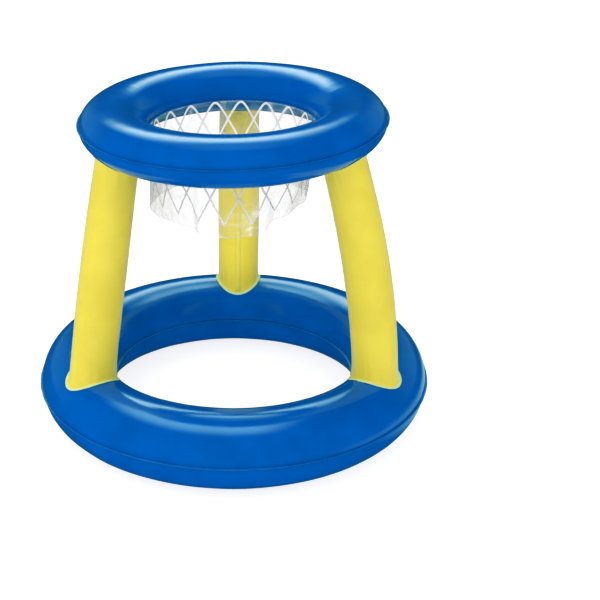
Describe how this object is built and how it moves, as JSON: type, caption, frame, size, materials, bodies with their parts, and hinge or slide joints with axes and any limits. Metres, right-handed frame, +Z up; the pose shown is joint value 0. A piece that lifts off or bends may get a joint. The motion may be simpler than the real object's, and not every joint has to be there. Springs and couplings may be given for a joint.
{
  "type": "floating basketball hoop",
  "caption": "Inflatable floating hoop: a base ring and a smaller top ring joined by air legs, with a clear film net hanging in the top ring and a plugged valve on each ring.",
  "frame": {"origin": "centre of the base ring, on the floor it stands on", "axes": "+Z up along the base ring's axis; -Y is the front, and the rear leg stands near +Y; +X is the hoop's right"},
  "size_m": [0.616, 0.616, 0.5154],
  "materials": {
    "blue_vinyl": "glossy soft vinyl sheet",
    "yellow_vinyl": "satin soft vinyl sheet",
    "clear_film": "clear soft vinyl film with a white printed net",
    "valve_vinyl": "milky moulded soft vinyl"
  },
  "bodies": {
    "hoop": {"base_ring_upper_panel": "blue_vinyl", "base_ring_lower_panel": "blue_vinyl", "top_ring_upper_panel": "blue_vinyl", "top_ring_lower_panel": "blue_vinyl", "leg_rear": "yellow_vinyl", "leg_left": "yellow_vinyl", "leg_right": "yellow_vinyl", "net_film": "clear_film", "base_valve_collar": "valve_vinyl", "top_valve_collar": "valve_vinyl"},
    "base_stem": {"base_valve_stem": "valve_vinyl"},
    "base_plug": {"base_valve_plug": "valve_vinyl"},
    "base_flap": {"base_valve_flap": "valve_vinyl"},
    "top_stem": {"top_valve_stem": "valve_vinyl"},
    "top_plug": {"top_valve_plug": "valve_vinyl"},
    "top_flap": {"top_valve_flap": "valve_vinyl"}
  },
  "joints": [
    {"name": "base_stem_slide", "type": "slide", "parent": "hoop", "child": "base_stem", "axis": [0.579, 0.678, 0.4529], "range_m": [0, 0.01]},
    {"name": "base_plug_hinge", "type": "hinge", "parent": "base_stem", "child": "base_plug", "pos_m": [0.20349, 0.22286, 0.08534], "axis": [0.2941, 0.3444, -0.8916], "range_deg": [0, 150]},
    {"name": "base_flap_hinge", "type": "hinge", "parent": "base_stem", "child": "base_flap", "pos_m": [0.19002, 0.21448, 0.07766], "axis": [-0.2941, -0.3444, 0.8916], "range_deg": [0, 35], "stiffness_Nm_per_rad": 0.0001},
    {"name": "top_stem_slide", "type": "slide", "parent": "hoop", "child": "top_stem", "axis": [-0.7331, 0.4706, -0.491], "range_m": [0, 0.01]},
    {"name": "top_plug_hinge", "type": "hinge", "parent": "top_stem", "child": "top_plug", "pos_m": [-0.18949, 0.12848, 0.4589], "axis": [0.4354, -0.2297, -0.8704], "range_deg": [0, 150]},
    {"name": "top_flap_hinge", "type": "hinge", "parent": "top_stem", "child": "top_flap", "pos_m": [-0.17957, 0.11641, 0.46705], "axis": [-0.4354, 0.2297, 0.8704], "range_deg": [0, 35], "stiffness_Nm_per_rad": 0.0001}
  ]
}
